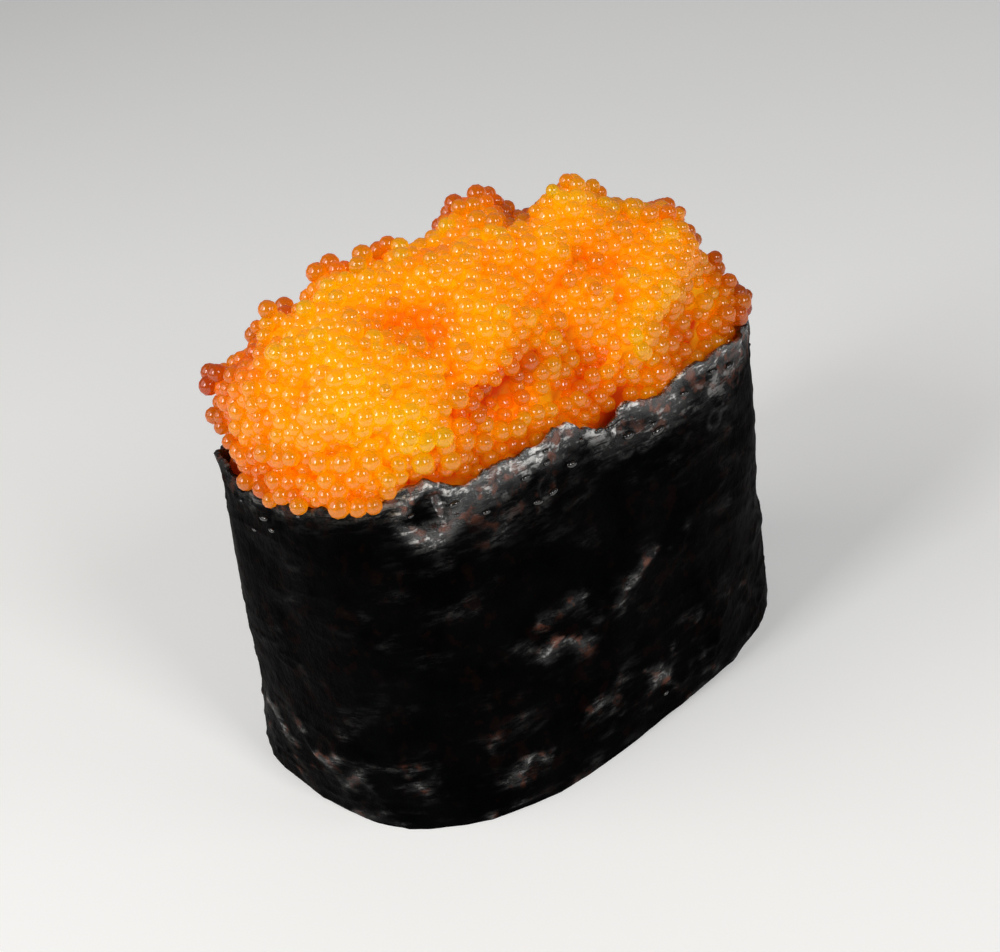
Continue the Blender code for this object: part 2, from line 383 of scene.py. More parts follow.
def nori_band_mesh():
    """A closed ring: up the outer face, over the rounded rim, down the inner face and along the foot."""
    evenly = np.linspace(0, 1, BAND_COLUMNS, endpoint=False)
    turns = np.unique(np.append(evenly, [LAP_END, LAP_END + LAP_STEP]))
    edge = plan_outline(np.linspace(0, 1, 800), *TOP_PLAN)
    length = np.hypot(*np.diff(edge, axis=0).T).sum()
    edge_spots = np.concatenate([plan_outline(turns, *TOP_PLAN), np.zeros((len(turns), 1))], axis=1)
    ragged = RAGGED_EDGE * rough_field(edge_spots, (3.2 * MM,) * 3, 5.3, 4)
    ragged += FRAYED_EDGE * rough_field(edge_spots, (1.1 * MM,) * 3, 15.7, 2)
    rim = rim_height(turns) + ragged
    up_outer = np.linspace(0, 1, BAND_ROWS + 1) ** 0.94
    column, up = np.meshgrid(turns, up_outer, indexing="ij")
    height = up * (rim[:, None] - 0.25 * SHEET)
    lap = SHEET * lap_lift(column, length)
    flat = wall_point(column, up, lap, height)
    relief, wet = band_relief(column, height, flat, length)
    outer = wall_point(column, up, lap + relief, height)
    rim_relief = relief[:, -1:]
    arc = np.linspace(0, np.pi, RIM_ROWS + 2)[1:-1]
    column, bend = np.meshgrid(turns, arc, indexing="ij")
    over = wall_point(column, np.ones_like(column),
                      lap[:, -1:] + rim_relief - SHEET * (0.5 - 0.5 * np.cos(bend)),
                      rim[:, None] - 0.25 * SHEET + 0.25 * SHEET * np.sin(bend))
    up_inner = np.linspace(1, 0, INNER_ROWS + 1) ** 1.6
    column, up = np.meshgrid(turns, up_inner, indexing="ij")
    follow = np.stack([np.interp(up_inner, up_outer, row) for row in relief])
    inner = wall_point(column, up, follow - SHEET, up * (rim[:, None] - 0.25 * SHEET))
    points = np.concatenate([outer, over, inner], axis=1)
    columns, rows = points.shape[:2]
    wet_and_sheen = np.concatenate([wet, np.repeat(wet[:, -1:], rows - wet.shape[1], axis=1)], axis=1)
    index = np.arange(columns * rows).reshape(columns, rows)
    here, following = index, np.roll(index, -1, axis=0)
    quads = np.stack([here, following, np.roll(following, -1, axis=1), np.roll(here, -1, axis=1)], axis=-1)
    mesh = bpy.data.meshes.new("nori_sheet")
    mesh.from_pydata(points.reshape(-1, 3).tolist(), [], quads.reshape(-1, 4).tolist())
    # The 'wet' attribute sets the sheet's gloss and how much sheen is painted into its colour
    mesh.attributes.new("wet", "FLOAT", "POINT").data.foreach_set("value", wet_and_sheen.ravel())
    mesh.shade_smooth()
    mesh.set_sharp_from_angle(angle=math.radians(75))
    return mesh


def spread(add, value, low, high, bottom=0.0, top=1.0):
    """A value stretched so that low becomes bottom and high becomes top, and held between them."""
    ranged = add("ShaderNodeMapRange", {"Value": value, "From Min": low, "From Max": high,
                                        "To Min": bottom, "To Max": top})
    return ranged.outputs[0]


def times(add, first, second):
    return add("ShaderNodeMath", {0: first, 1: second}, operation="MULTIPLY").outputs[0]


NORI_BLACK, NORI_WORN = (0.0003, 0.0004, 0.0005, 1), (0.0015, 0.0016, 0.0018, 1)
NORI_BROWN = (0.15, 0.042, 0.019, 1)
# Colours of the sheen painted onto the wet nori: silver glints and a grey haze
PAINTED_SHEEN_SILVER = (0.88, 0.87, 0.85, 1)
PAINTED_SHEEN_HAZE = 0.06
FIBRE_RELIEF = 0.34 * MM


def nori_material():
    """Near black seaweed: dull with a fine net of fibres, glossy where the 'wet' attribute says so, and with
    a silvery sheen and grey haze painted into its colour there.
    """
    material = bpy.data.materials.new("moist_nori")
    shader, add, feed = node_maker(material)
    place = add("ShaderNodeTexCoord").outputs["Object"]
    wet = add("ShaderNodeAttribute", attribute_name="wet").outputs["Fac"]
    cloudy = clouds(add, place, 170.0, 5.0, 0.6)
    tone = blend(add, spread(add, cloudy, 0.38, 0.66), NORI_BLACK, NORI_WORN)
    # Painted sheen: silvery glints and a grey haze painted into the colour where the sheet is wet, in
    # streaks along the band
    lengthwise = add("ShaderNodeMapping", {"Vector": place, "Scale": (0.25, 0.25, 1.0)}).outputs["Vector"]
    sheen_streaks = spread(add, clouds(add, lengthwise, 1800.0, 5.0, 0.75), 0.47, 0.575)
    painted_glints = spread(add, clouds(add, place, 420.0, 4.0, 0.65), 0.50, 0.56)
    sheen_strength = add("ShaderNodeMath", {0: wet, 1: 2.2}, operation="POWER").outputs[0]
    hazy_sheen = times(add, wet, PAINTED_SHEEN_HAZE)
    painted_sheen = add("ShaderNodeMath", {0: times(add, painted_glints, sheen_strength), 1: hazy_sheen}, operation="ADD").outputs[0]
    tone_with_sheen = blend(add, times(add, painted_sheen, sheen_streaks), tone, PAINTED_SHEEN_SILVER)
    brown_place = spread(add, clouds(add, place, 260.0, 2.0), 0.45, 0.58)
    brown_fleck = spread(add, clouds(add, place, 800.0, 3.0), 0.50, 0.60)
    brown_near_wet = spread(add, wet, 0.1, 0.7, bottom=0.02)
    brown = times(add, times(add, brown_place, brown_fleck), brown_near_wet)
    feed("Base Color", blend(add, brown, tone_with_sheen, NORI_BROWN))
    feed("Roughness", spread(add, cloudy, 0.3, 0.7, bottom=0.62, top=0.42))
    feed("Coat Weight", add("ShaderNodeMath", {0: wet, 1: 2.0}, operation="POWER").outputs[0])
    fibres = clouds(add, place, 900.0, 5.0, 0.7)
    bump = add("ShaderNodeBump", {"Height": fibres, "Strength": 0.9, "Distance": FIBRE_RELIEF})
    feed("Normal", bump.outputs["Normal"])
    feed("Coat Normal", bump.outputs["Normal"])
    shader.inputs["Specular IOR Level"].default_value = 0.008
    shader.inputs["Coat Roughness"].default_value = 0.20
    shader.inputs["Coat IOR"].default_value = 2.0
    return material


def shown(name, mesh, slot, *replaced):
    """Puts a finished mesh in the scene as a piece of the sushi."""
    piece = bpy.data.objects.new(name, mesh)
    bpy.context.scene.collection.objects.link(piece)
    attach(piece, "root")
    if replaced:
        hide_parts(*replaced)
    return piece


nori_sheet = shown("nori_sheet", nori_band_mesh(), "nori", "nori_band")
nori_sheet.data.materials.append(nori_material())

# ---------------------------------------------------------------------------
# Roe
# Flying-fish eggs, 1.5 to 2 mm across: soft, clear orange beads, wet with brine,
# that stick to one another and to the nori. They are spooned on in one heap.
# ---------------------------------------------------------------------------

EGG_RADIUS = 0.85 * MM
EGG_SPREAD = 0.10 * MM
SMALLEST_EGG, LARGEST_EGG = 0.64 * MM, 1.06 * MM
EGG_COUNT = 3400
SHELL_DEPTH = 2.9 * MM  # the loose eggs over the core
CORE_DEPTH = 1.25 * MM
STICKING = 0.80  # distance between eggs that touch, over the sum of their radii
BELOW_RIM = 2.0 * MM  # how far the eggs go down inside the band
BIG_CLUMPS, SMALL_CLUMPS = 1.25 * MM, 1.0 * MM
LINE_DEPTH = 1.0 * MM  # of the narrow valleys between clumps
HOLLOW_DEPTH = 1.2 * MM  # what the depth of a hollow is measured against
SHALLOW_SHADE, BARE_SHADE = 0.5, 1.3  # the most that a hollow, and a crevice, count as hollow
SETTLE_ROUNDS = 36
UNEVEN_TOP = 0.38 * MM  # how far an egg of the top layer may stand out or lie back
NORI_CLEARANCE = 0.03 * MM
LONE_EGGS = 60
GLOW_SHARE = 0.45  # of the light falling on an egg, what shines out of its far side
LIGHT_THROUGH_EGG = (0.965, 0.84, 0.55)
# Bare places between the clumps, where the deep mass shows: x, y and z in mm, radius in mm
CREVICES = (
    (-12.2, -14.5, 39.0, 1.4), (-10.6, -14.4, 38.6, 1.7), (-9.0, -14.2, 38.6, 1.6),
    (-7.4, -13.9, 38.6, 1.3), (-5.8, -14.0, 39.0, 1.1), (-4.2, -14.2, 39.4, 1.3),
    (-2.8, -14.2, 39.6, 1.0), (-11.0, -14.7, 37.0, 1.1), (2.4, -14.7, 37.0, 1.2),
    (1.6, -15.2, 34.9, 1.5), (0.6, -14.2, 40.6, 0.8), (-18.4, -12.6, 34.2, 1.3),
    (-17.0, -13.2, 34.2, 1.8), (-15.4, -13.7, 34.2, 1.4), (-12.3, -14.6, 33.9, 1.1),
    (-7.0, -15.0, 34.1, 1.2), (-25.9, -6.0, 36.0, 1.3), (-25.0, -8.0, 36.6, 0.9),
    (12.2, -16.1, 34.2, 1.0), (13.8, -15.9, 35.2, 1.2), (15.4, -15.6, 35.8, 0.9),
    (9.0, 12.5, 42.0, 1.6), (-14.0, 12.0, 41.0, 1.5), (22.0, 9.0, 38.0, 1.5),
)
CREVICE_DEPTH = 0.5 * MM
CREVICE_GAPS = 0.4  # share of the eggs missing where a crevice is barest
# Painted shade: the mass under the eggs is painted redder along the rim
RIM_SHADE = 0.45  # how far the mass under the eggs reddens along the rim
# Broad rises and dips of the whole heap: x, y and z in mm, radius in mm, how far out in mm
RISES = (
    (10.3, 1.8, 50.0, 4.0, -4.4), (5.0, 3.0, 49.4, 3.4, 0.5), (12.5, -5.2, 50.0, 3.0, 2.1),
    (17.0, 10.8, 46.5, 4.6, -4.2), (20.0, -2.0, 47.5, 4.4, -3.4), (25.0, -9.5, 42.0, 4.2, -3.4),
    (26.0, -10.5, 36.5, 3.4, -1.5), (-19.5, 7.2, 44.6, 3.2, -2.7), (-13.5, 5.5, 47.2, 2.8, -1.1),
    (14.1, -6.3, 48.6, 1.9, -1.8), (6.8, -2.2, 50.0, 2.6, -2.4), (16.4, -3.0, 49.5, 2.2, -1.8),
    (23.0, -12.5, 39.6, 3.0, -1.2), (4.1, -5.9, 49.5, 2.0, -1.1), (7.4, -6.2, 49.8, 1.5, 1.4),
    (7.5, -16.5, 37.8, 3.0, 1.1), (-4.5, 4.0, 49.0, 3.0, -1.2), (-26.5, -1.0, 37.5, 3.2, -1.6),
    (-8.0, 5.5, 48.0, 2.4, -0.9), (-13.0, -1.0, 48.0, 3.6, 0.9), (-20.0, -8.5, 43.5, 4.4, 0.7),
    (0.5, -6.5, 48.5, 3.2, 0.8), (-7.5, -9.5, 44.5, 2.8, -0.8), (6.5, -11.5, 45.5, 2.6, -0.7),
)
# Patches of painted light, where eggs are painted paler and yellower: x, y and z in mm, radius in mm, how
# much paler
PAINTED_LIGHT_PATCHES = ((-17.0, -12.0, 38.0, 6.0, 0.14), (7.5, -16.5, 37.8, 3.6, 0.08))
# Little piles that stand up from the heap: x and y in mm, eggs in the pile
PILES = (
    (5, 4, 2), (3, 1, 2), (14.5, -4.5, 3), (9.8, -6.2, 2), (17.5, -9.5, 2), (-10, 4, 2),
    (-23.6, 8.8, 3), (-6, 3.5, 3), (2, -3, 2), (-20, 3, 2), (24.5, -8, 2), (6, 9, 2),
    (-16, 6.5, 2),
)
# Stretches of the rim that eggs have run over: from and to in turns, how many
SPILLS = ((0.488, 0.545, 46), (0.545, 0.610, 60), (0.610, 0.645, 8), (0.735, 0.750, 2), (0.790, 0.805, 2),
          (0.06, 0.22, 16), (0.33, 0.39, 9), (0.860, 0.900, 12), (0.900, 0.930, 12))
# Eggs that hang alone on the outside: turn, how far below the rim, radius
HANGING = ((0.5885, 0.8 * MM, 0.84 * MM), (0.135, 1.8 * MM, 0.90 * MM), (0.380, 1.4 * MM, 0.92 * MM))

dice = np.random.default_rng(20)


def averaged(values, edges, rounds):
    """Values at the points of a mesh, each drawn towards the mean of its neighbours, round by round."""
    first, second = edges
    count = np.bincount(np.concatenate([first, second]), minlength=len(values))[:, None]
    values = values.copy()
    for _ in range(rounds):
        total = np.zeros_like(values)
        np.add.at(total, first, values[second])
        np.add.at(total, second, values[first])
        values = 0.5 * values + 0.5 * total / count
    return values


def radii_away(points, spot, radius):
    """How far every point is from a spot given in mm, measured in radii given in mm."""
    return np.linalg.norm(points - np.array(spot) * MM, axis=1) / (radius * MM)


def heap_skin():
    """The heap's outline with clumps raised on it: points, normals, faces, edges and how hollow it is."""
    shape = bmesh.new()
    shape.from_mesh(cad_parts["roe_heap"].data)
    bmesh.ops.remove_doubles(shape, verts=shape.verts, dist=1e-6)
    bmesh.ops.subdivide_edges(shape, edges=shape.edges, cuts=1, use_grid_fill=True, smooth=0.6)
    bmesh.ops.triangulate(shape, faces=shape.faces)
    bmesh.ops.recalc_face_normals(shape, faces=shape.faces)
    shape.normal_update()
    points = np.array([v.co for v in shape.verts])
    normals = np.array([v.normal for v in shape.verts])
    faces = np.array([[v.index for v in f.verts] for f in shape.faces])
    edges = np.array([[v.index for v in e.verts] for e in shape.edges]).T
    shape.free()
    above = smooth_step(points[:, 2], BAND_HEIGHT + 0.3 * MM, BAND_HEIGHT + 2.6 * MM)
    clumps = BIG_CLUMPS * rough_field(points, (5.2 * MM,) * 3, 7.7, 2)
    clumps += SMALL_CLUMPS * rough_field(points, (2.9 * MM,) * 3, 17.1, 2)
    lines = ridge(rough_field(points, (7.5 * MM,) * 3, 23.9, 1), 7.0)
    clumps -= LINE_DEPTH * lines
    bare = np.zeros(len(points))
    for *spot, radius in CREVICES:
        bare = np.maximum(bare, np.exp(-radii_away(points, spot, radius) ** 4))
    rise = np.zeros(len(points))
    for *spot, radius, out in RISES:
        rise += out * MM * np.exp(-radii_away(points, spot, radius) ** 2)
    points = points + normals * (np.minimum(clumps, 0.8 * MM) * above + rise - CREVICE_DEPTH * bare)[:, None]
    hollow = ((averaged(points, edges, 40) - points) * normals).sum(axis=1) / HOLLOW_DEPTH
    return points, normals, faces, edges, np.maximum(np.minimum(hollow, SHALLOW_SHADE), BARE_SHADE * bare)


def nearest_signed(tree, centres):
    """Distance of each centre from a skin, positive outside it, the skin's normal there and its face."""
    distance, normal = np.zeros(len(centres)), np.zeros((len(centres), 3))
    face = np.zeros(len(centres), dtype=int)
    for i, centre in enumerate(centres):
        spot, way, face[i], _ = tree.find_nearest(Vector(centre))
        normal[i] = way
        distance[i] = (Vector(centre) - spot).dot(way)
    return distance, normal, face


def keep_off(tree, centres, radii, reach):
    """Moves each centre that is within its own radius of a surface away from it."""
    for i, centre in enumerate(centres):
        spot, _, _, distance = tree.find_nearest(Vector(centre), reach)
        if spot is not None and 0 < distance < radii[i] + NORI_CLEARANCE:
            away = (Vector(centre) - spot) / distance
            centres[i] += np.array(away) * (radii[i] + NORI_CLEARANCE - distance)


def close_pairs(centres, reach):
    """Index pairs of centres nearer to each other than reach."""
    first, second = [], []
    for start in range(0, len(centres), 400):
        block = centres[start:start + 400]
        away = ((block[:, None] - centres[None]) ** 2).sum(axis=-1)
        i, j = np.nonzero(away < reach ** 2)
        keep = i + start < j
        first.append(i[keep] + start)
        second.append(j[keep])
    return np.concatenate(first), np.concatenate(second)


def push_apart(centres, radii, pairs, share, fixed=0):
    """Moves touching eggs apart; the first 'fixed' eggs stay where they are."""
    i, j = pairs
    between = centres[j] - centres[i]
    distance = np.maximum(np.linalg.norm(between, axis=1), 1e-9)
    overlap = np.maximum((radii[i] + radii[j]) * STICKING - distance, 0)
    step = between / distance[:, None] * (overlap * share)[:, None]
    moved = np.zeros_like(centres)
    np.add.at(moved, j, step)
    np.add.at(moved, i, -step)
    moved[:fixed] = 0
    centres += moved


def draw_radii(count):
    return np.clip(dice.normal(EGG_RADIUS, EGG_SPREAD, count), SMALLEST_EGG, LARGEST_EGG)


def scatter_on(points, faces, count, lowest):
    """Random spots on a skin above a height, with the skin's normals."""
    corners = points[faces]
    cross = np.cross(corners[:, 1] - corners[:, 0], corners[:, 2] - corners[:, 0])
    area = np.linalg.norm(cross, axis=1)
    weight = area * (corners[:, :, 2].mean(axis=1) > lowest)
    chosen = dice.choice(len(faces), count, p=weight / weight.sum())
    share = dice.random((count, 2))
    folded = share.sum(axis=1) > 1
    share[folded] = 1 - share[folded]
    a, b, c = corners[chosen, 0], corners[chosen, 1], corners[chosen, 2]
    spots = a + (b - a) * share[:, :1] + (c - a) * share[:, 1:]
    return spots, cross[chosen] / area[chosen, None]


def heaped_eggs(points, faces, hollow, skin, nori):
    """Eggs packed in a loose shell just under the heap's skin, with few in its deepest hollows."""
    lowest = BAND_HEIGHT - BELOW_RIM
    spots, normals = scatter_on(points, faces, EGG_COUNT, lowest)
    radii = draw_radii(EGG_COUNT)
    depth = EGG_RADIUS + dice.random(EGG_COUNT) ** 0.8 * (SHELL_DEPTH - EGG_RADIUS)
    centres = spots - normals * depth[:, None]
    ceiling = UNEVEN_TOP * (2 * np.random.default_rng(7).random(EGG_COUNT) - 1)
    for turn in range(SETTLE_ROUNDS):
        if turn % 3 == 0:
            pairs = close_pairs(centres, 2.6 * MM)
        push_apart(centres, radii, pairs, 0.5)
        if turn % 2 == 1:
            distance, way, _ = nearest_signed(skin, centres)
            out = np.maximum(distance + radii - ceiling, 0)
            deep = np.minimum(distance + SHELL_DEPTH, 0)
            centres -= way * (out + 0.5 * deep)[:, None]
            centres[:, 2] = np.maximum(centres[:, 2], lowest)
            centres += way * 0.03 * MM
            keep_off(nori, centres, radii, 1.2 * MM)
    distance, _, face = nearest_signed(skin, centres)
    bare = smooth_step(hollow[faces[face]].mean(axis=1), 0.95, 1.25)
    kept = dice.random(len(centres)) > bare * CREVICE_GAPS
    return centres[kept], radii[kept]


def piled_eggs(skin):
    """A few eggs on top of one another at each named pile."""
    centres = []
    for x, y, count in PILES:
        spot, way, _, _ = skin.ray_cast(Vector((x * MM, y * MM, 0.08)), Vector((0, 0, -1)))
        for level in range(count):
            rise = (0.1 + 0.65 * level) * EGG_RADIUS
            drift = dice.normal(0, 0.8 * MM, 3) * (1, 1, 0.2) * (1 if level < count - 1 else 0.3)
            centres.append(np.array(spot + way * rise) + drift)
    return np.array(centres)


def spilled_eggs():
    """Eggs lying over the rim, and a few that have gone past it and cling to the outside of the nori."""
    centres = []
    for start, end, count in SPILLS:
        turns = start + (end - start) * dice.random(count)
        out = -2.6 * MM + 2.8 * MM * dice.random(count)
        height = rim_height(turns) + EGG_RADIUS * (0.9 + 1.6 * dice.random(count))
        centres.append(wall_point(turns, np.ones_like(turns), out, height))
    for turn, drop, radius in HANGING:
        spot = np.array([turn])
        height = rim_height(spot) - drop + radius
        centres.append(wall_point(spot, np.ones(1), np.array([0.9 * radius]), height))
    return np.concatenate(centres)


def slipped_past(centres):
    """Which eggs are outside the band and lower than its rim."""
    turns = np.linspace(0, 1, 600)
    edge = plan_outline(turns, *TOP_PLAN)
    away = np.linalg.norm(centres[:, None, :2] - edge[None], axis=2)
    nearest = away.argmin(axis=1)
    away_from_band = outward(turns, np.ones_like(turns))[nearest]
    outside = ((centres[:, :2] - edge[nearest]) * away_from_band).sum(axis=1) > 0
    return outside & (centres[:, 2] < rim_height(turns[nearest]) + 0.35 * EGG_RADIUS)


def settle_extra(centres, radii, extra, extra_radii, skin, nori):
    """Adds loose eggs to the settled heap and lets only them find their places."""
    fixed = len(centres)
    centres = np.concatenate([centres, extra])
    radii = np.concatenate([radii, extra_radii])
    for _ in range(26):
        pairs = close_pairs(centres, 2.4 * MM)
        push_apart(centres, radii, pairs, 0.8, fixed)
        loose = centres[fixed:]
        distance, way, _ = nearest_signed(skin, loose)
        loose -= way * np.maximum(distance - 1.5 * MM, 0)[:, None]
        loose -= way * 0.06 * MM
        keep_off(nori, loose, radii[fixed:], 1.2 * MM)
        centres[fixed:] = loose
    return centres, radii


def surface_tree(mesh):
    return BVHTree.FromPolygons([v.co for v in mesh.vertices], [tuple(p.vertices) for p in mesh.polygons])


def place_eggs(points, faces, edges, hollow):
    """Every egg's centre and radius, and how hollow the heap is round it."""
    skin = BVHTree.FromPolygons([Vector(p) for p in points], faces.tolist())
    nori = surface_tree(nori_sheet.data)
    centres, radii = heaped_eggs(points, faces, hollow, skin, nori)
    lone_spots, lone_normals = scatter_on(points, faces, LONE_EGGS, BAND_HEIGHT + 1 * MM)
    lone = lone_spots + lone_normals * 0.3 * MM
    piled, spilled = piled_eggs(skin), spilled_eggs()
    extra = np.concatenate([piled, lone, spilled])
    extra_radii = draw_radii(len(extra))
    extra_radii[-len(HANGING):] = [radius for _, _, radius in HANGING]
    centres, radii = settle_extra(centres, radii, extra, extra_radii, skin, nori)
    lost = slipped_past(centres)
    lost[-len(HANGING):] = False
    centres, radii = centres[~lost], radii[~lost]
    distance, _, face = nearest_signed(skin, centres)
    around = averaged(hollow[:, None], edges, 14)[:, 0]
    return centres, radii, around[faces[face]].mean(axis=1), distance


def laying_tree(name, own_inputs):
    """Starts a Geometry Nodes tree that lays pieces on points: the tree and its inputs' identifiers."""
    tree = bpy.data.node_groups.new(name, "GeometryNodeTree")
    face = tree.interface
    face.new_socket("Geometry", in_out="INPUT", socket_type="NodeSocketGeometry")
    sockets = {}
    for title, kind in (*own_inputs, ("Seed", "Int"), ("Finish", "Material")):
        socket = face.new_socket(title, in_out="INPUT", socket_type="NodeSocket" + kind)
        sockets[title] = socket.identifier
    face.new_socket("Geometry", in_out="OUTPUT", socket_type="NodeSocketGeometry")
    return tree, sockets


def lay_and_dress(add, given, piece, rotation, scale):
    """Ends a laying tree: the piece on every point, made real and given its material."""
    smooth = add("GeometryNodeSetShadeSmooth", {"Geometry": piece})
    laid = add("GeometryNodeInstanceOnPoints", {"Points": given["Geometry"], "Instance": smooth.outputs[0],
                                                "Rotation": rotation, "Scale": scale})
    real = add("GeometryNodeRealizeInstances", {"Geometry": laid.outputs[0]})
    dressed = add("GeometryNodeSetMaterial", {"Geometry": real.outputs[0], "Material": given["Finish"]})
    add("NodeGroupOutput", {"Geometry": dressed.outputs[0]})


def egg_tree():
    """Geometry Nodes: one egg on every point, a little out of round and turned at random."""
    tree, sockets = laying_tree("lay_eggs", (("Roundness", "Int"), ("Unevenness", "Float")))
    add = adder(tree)
    given = add("NodeGroupInput").outputs
    ball = add("GeometryNodeMeshIcoSphere", {"Radius": 1.0, "Subdivisions": given["Roundness"]})
    small = add("ShaderNodeMath", {0: 1.0, 1: given["Unevenness"]}, operation="SUBTRACT")
    large = add("ShaderNodeMath", {0: 1.0, 1: given["Unevenness"]}, operation="ADD")
    low = add("ShaderNodeCombineXYZ", {n: small.outputs[0] for n in "XYZ"})
    high = add("ShaderNodeCombineXYZ", {n: large.outputs[0] for n in "XYZ"})
    stretch = add("FunctionNodeRandomValue", {"Min": low.outputs[0], "Max": high.outputs[0],
                                              "Seed": given["Seed"]}, data_type="FLOAT_VECTOR")
    radius = add("GeometryNodeInputNamedAttribute", {"Name": "egg_radius"}, data_type="FLOAT")
    size = add("ShaderNodeVectorMath", {0: stretch.outputs[0], "Scale": radius.outputs["Attribute"]},
               operation="SCALE")
    spin = add("FunctionNodeRandomValue", {"Max": (math.tau,) * 3, "Seed": given["Seed"]},
               data_type="FLOAT_VECTOR")
    turn = add("FunctionNodeEulerToRotation", {"Euler": spin.outputs[0]})
    lay_and_dress(add, given, ball.outputs["Mesh"], turn.outputs[0], size.outputs[0])
    return tree, sockets


def laid_pieces(name, spots, attributes, tree, given):
    """Runs a laying tree on its points and keeps the result as a plain mesh."""
    cloud = bpy.data.meshes.new(name + "_points")
    cloud.from_pydata(spots.tolist(), [], [])
    for title, kind, values in attributes:
        layer = cloud.attributes.new(title, kind, "POINT")
        layer.data.foreach_set("vector" if kind == "FLOAT_VECTOR" else "value", values.ravel())
    holder = bpy.data.objects.new(name + "_points", cloud)
    bpy.context.scene.collection.objects.link(holder)
    modifier = holder.modifiers.new(tree.name, "NODES")
    modifier.node_group = tree
    for socket, value in given.items():
        modifier[socket] = value
    graph = bpy.context.evaluated_depsgraph_get()
    mesh = bpy.data.meshes.new_from_object(holder.evaluated_get(graph))
    mesh.name = name
    bpy.data.objects.remove(holder)
    return mesh


# How much deeper an egg's colour is painted in a hollow, as painted shade, and where it stands out alone,
# and how eggs differ
HOLLOW_TINT, STANDING_TINT, EGG_VARIETY = 0.70, 0.28, 0.05


def shade_and_ripeness(centres):
    """How deep each egg's colour is: least at the near left, most at the back and the right end, as painted
    shade, with a little random variety and paler patches of painted light.
    """
    x, y, z = centres.T
    shade_and_ripe = (0.05 + 0.06 * smooth_step(x, -20 * MM, -6 * MM)
            + 0.48 * smooth_step(x, 16 * MM, 25 * MM)
            + 0.20 * smooth_step(-x, 19 * MM, 25 * MM) * smooth_step(y, -5 * MM, 1 * MM)
            + 0.34 * smooth_step(y, 1 * MM, 6 * MM)
            + 0.12 * smooth_step(-z, -36 * MM, -33 * MM)
            + 0.10 * rough_field(centres, (6 * MM,) * 3, 211.5, 2))
    for *spot, radius, paler_by in PAINTED_LIGHT_PATCHES:
        shade_and_ripe -= paler_by * np.exp(-radii_away(centres, spot, radius) ** 2)
    return shade_and_ripe


# Tint stops from pale to deep: the pale end carries painted light and the deep end painted shade, as well as
# the eggs' own range of colour
YOUNG_AND_LIT_EGG, ORANGE_EGG, RIPE_AND_SHADED_EGG = (0.92, 0.735, 0.008), (0.91, 0.41, 0.004), (0.63, 0.10, 0.004)


def egg_material(name, pale, middle, deep):
    """A clear bead of orange jelly in a wet skin: it glows through, and lamps reach what lies under it."""
    material = bpy.data.materials.new(name)
    shader, add, feed = node_maker(material)
    tint = add("ShaderNodeAttribute", attribute_name="egg_tint").outputs["Fac"]
    colour = add("ShaderNodeValToRGB", {"Fac": tint})
    stops = colour.color_ramp.elements
    stops.new(0.5)
    for stop, shade in zip(stops, (pale, middle, deep)):
        stop.color = (*shade, 1)
    feed("Base Color", colour.outputs["Color"])
    shader.inputs["Roughness"].default_value = 0.12
    shader.inputs["IOR"].default_value = 1.15
    shader.inputs["Transmission Weight"].default_value = 0.49
    shader.inputs["Coat Weight"].default_value = 1.0
    shader.inputs["Coat Roughness"].default_value = 0.08
    shader.inputs["Coat IOR"].default_value = 1.9
    shader.inputs["Sheen Weight"].default_value = 0.3
    shader.inputs["Sheen Roughness"].default_value = 0.25
    shader.inputs["Sheen Tint"].default_value = (1, 0.72, 0.16, 1)
    glow = add("ShaderNodeBsdfTranslucent", {"Color": colour.outputs["Color"]})
    body = add("ShaderNodeMixShader", {0: GLOW_SHARE, 1: shader.outputs["BSDF"], 2: glow.outputs["BSDF"]})
    lamp_light = add("ShaderNodeBsdfTransparent", {"Color": (*LIGHT_THROUGH_EGG, 1)})
    is_shadow = add("ShaderNodeLightPath").outputs["Is Shadow Ray"]
    whole = add("ShaderNodeMixShader", {0: is_shadow, 1: body.outputs[0], 2: lamp_light.outputs[0]})
    output = material.node_tree.nodes["Material Output"]
    material.node_tree.links.new(whole.outputs[0], output.inputs["Surface"])
    return material


def roe_core_mesh(points, normals, faces, edges, hollow):
    """What lies under the loose eggs: the same heap drawn in, with its hollows and its rim marked for
    painted shade.
    """
    inner = averaged(points - normals * CORE_DEPTH, edges, 2)
    mesh = bpy.data.meshes.new("roe_core")
    mesh.from_pydata(inner.tolist(), [], faces.tolist())
    near_rim = 1 - smooth_step(points[:, 2], BAND_HEIGHT + 0.5 * MM, BAND_HEIGHT + 3 * MM)
    shade = np.clip(hollow + RIM_SHADE * near_rim, 0, 1)
    mesh.attributes.new("hollow", "FLOAT", "POINT").data.foreach_set("value", shade)
    mesh.shade_smooth()
    return mesh


# The mass's orange, and the red of its painted shade in hollows and along the rim
MASS_ORANGE, MASS_SHADED_RED = (0.94, 0.42, 0.006, 1), (0.62, 0.055, 0.003, 1)


